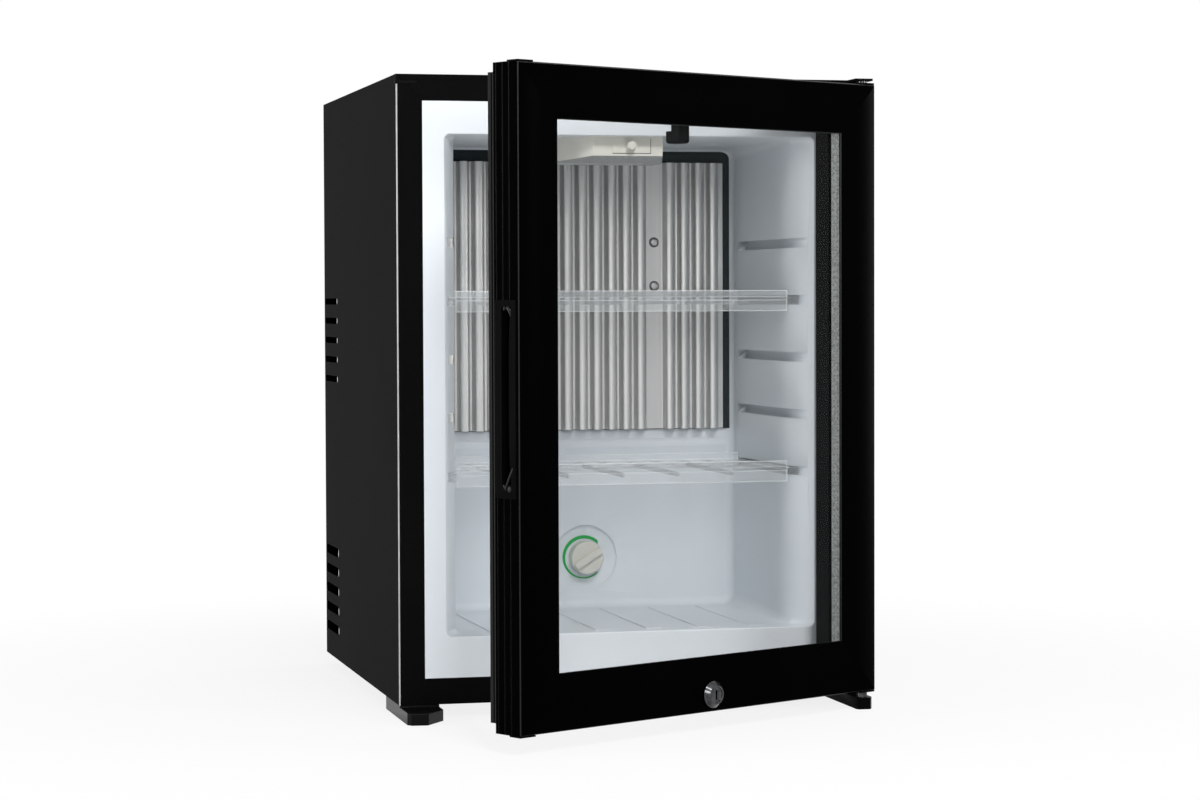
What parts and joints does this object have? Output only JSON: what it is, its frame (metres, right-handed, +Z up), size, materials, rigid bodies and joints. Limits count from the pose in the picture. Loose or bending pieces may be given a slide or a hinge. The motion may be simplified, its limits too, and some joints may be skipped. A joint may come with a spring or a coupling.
{
  "type": "minibar fridge",
  "caption": "Small black hotel minibar fridge with a double glazed door standing open, clear shelves, lamp, dial and lock.",
  "frame": {"origin": "on the floor, midway under the cabinet's body, its feet's undersides at zero height", "axes": "+X to the right and +Y into the cabinet as its front is faced, +Z up"},
  "size_m": [0.4166, 0.6546, 0.552],
  "materials": {
    "black_sheet": "fine matt texture",
    "black_frame": "satin",
    "black_plastic": "matt",
    "white_liner": "semi gloss",
    "clear_shelf": "clear",
    "glass": "clear, slightly tinted",
    "evaporator_grey": "anodised, ribbed",
    "bare_aluminium": "mill finish",
    "dark_seal": "matt",
    "gasket_rubber": "soft, matt",
    "magnet": "matt",
    "cream_plastic": "satin",
    "frosted_lens": "frosted",
    "board": "coated board",
    "green_print": "printed",
    "chrome": "polished",
    "zinc_steel": "zinc plated",
    "galvanised_sheet": "galvanised",
    "black_tube": "painted",
    "foam": "foam"
  },
  "bodies": {
    "cabinet": {"outer_wrap": "black_sheet", "base_pan": "black_sheet", "rear_bulkhead": "galvanised_sheet", "inner_liner": "white_liner", "evaporator_plate": "evaporator_grey", "evaporator_seal": "dark_seal", "heat_bridge": "bare_aluminium", "evaporator_screws": "zinc_steel", "evaporator_tube": "black_tube", "thermostat_body": "black_plastic", "thermostat_scale": "green_print", "sensor_capillary": "zinc_steel", "lamp_housing": "cream_plastic", "lamp_lens": "frosted_lens", "lamp_board": "board", "switch_frame": "cream_plastic", "switch_spring": "zinc_steel", "switch_contact": "black_plastic", "lock_strike": "zinc_steel", "case_screws": "zinc_steel", "left_foot": "black_plastic", "hinge_foot": "black_plastic", "rear_feet": "black_plastic", "hinge_pins": "chrome", "upper_hinge_plate": "black_sheet", "slot_cap": "black_plastic", "boiler_jacket": "galvanised_sheet", "heater_cartridge": "zinc_steel", "condenser": "black_tube", "absorber_coil": "black_tube", "absorber_vessel": "black_tube", "unit_brackets": "galvanised_sheet", "control_box": "black_plastic", "mains_inlet": "black_plastic", "drain_tube": "black_plastic", "foam_insulation": "foam"},
    "door": {"left_stile": "black_frame", "right_stile": "black_frame", "top_rail": "black_frame", "bottom_rail": "black_frame", "outer_pane": "glass", "inner_pane": "glass", "glass_spacer": "bare_aluminium", "inner_frame": "black_plastic", "door_gasket": "gasket_rubber", "gasket_magnets": "magnet", "handle_insert": "black_plastic", "hinge_side_insert": "black_plastic", "hinge_bushes": "black_plastic", "corner_caps": "black_plastic", "switch_tab": "black_plastic", "lock_sleeve": "chrome"},
    "lock_barrel": {"lock_plug": "chrome", "lock_cam": "zinc_steel", "cam_screw": "zinc_steel"},
    "knob": {"thermostat_knob": "cream_plastic", "thermostat_shaft": "zinc_steel"},
    "plunger": {"switch_plunger": "cream_plastic"},
    "lower_shelf": {"lower_shelf": "clear_shelf"},
    "upper_shelf": {"upper_shelf": "clear_shelf"}
  },
  "joints": [
    {"name": "door_hinge", "type": "hinge", "parent": "cabinet", "child": "door", "pos_m": [0.198, -0.2445, 0], "axis": [0, 0, 1], "range_deg": [-29, 91]},
    {"name": "lock_turn", "type": "hinge", "parent": "door", "child": "lock_barrel", "pos_m": [0.0324, -0.34487, 0.031], "axis": [-0.4848, 0.8746, 0], "range_deg": [0, 90]},
    {"name": "thermostat_turn", "type": "hinge", "parent": "cabinet", "child": "knob", "pos_m": [0.0073, 0.0045, 0.1175], "axis": [0, -1, 0], "range_deg": [0, 270]},
    {"name": "switch_press", "type": "slide", "parent": "cabinet", "child": "plunger", "axis": [0, 1, 0], "range_m": [0, 0.004], "stiffness_N_per_m": 250, "deforming": ["switch_spring"]},
    {"name": "lower_shelf_slide", "type": "slide", "parent": "cabinet", "child": "lower_shelf", "axis": [0, -1, 0], "range_m": [0, 0.045]},
    {"name": "upper_shelf_slide", "type": "slide", "parent": "cabinet", "child": "upper_shelf", "axis": [0, -1, 0], "range_m": [0, 0.045]}
  ]
}
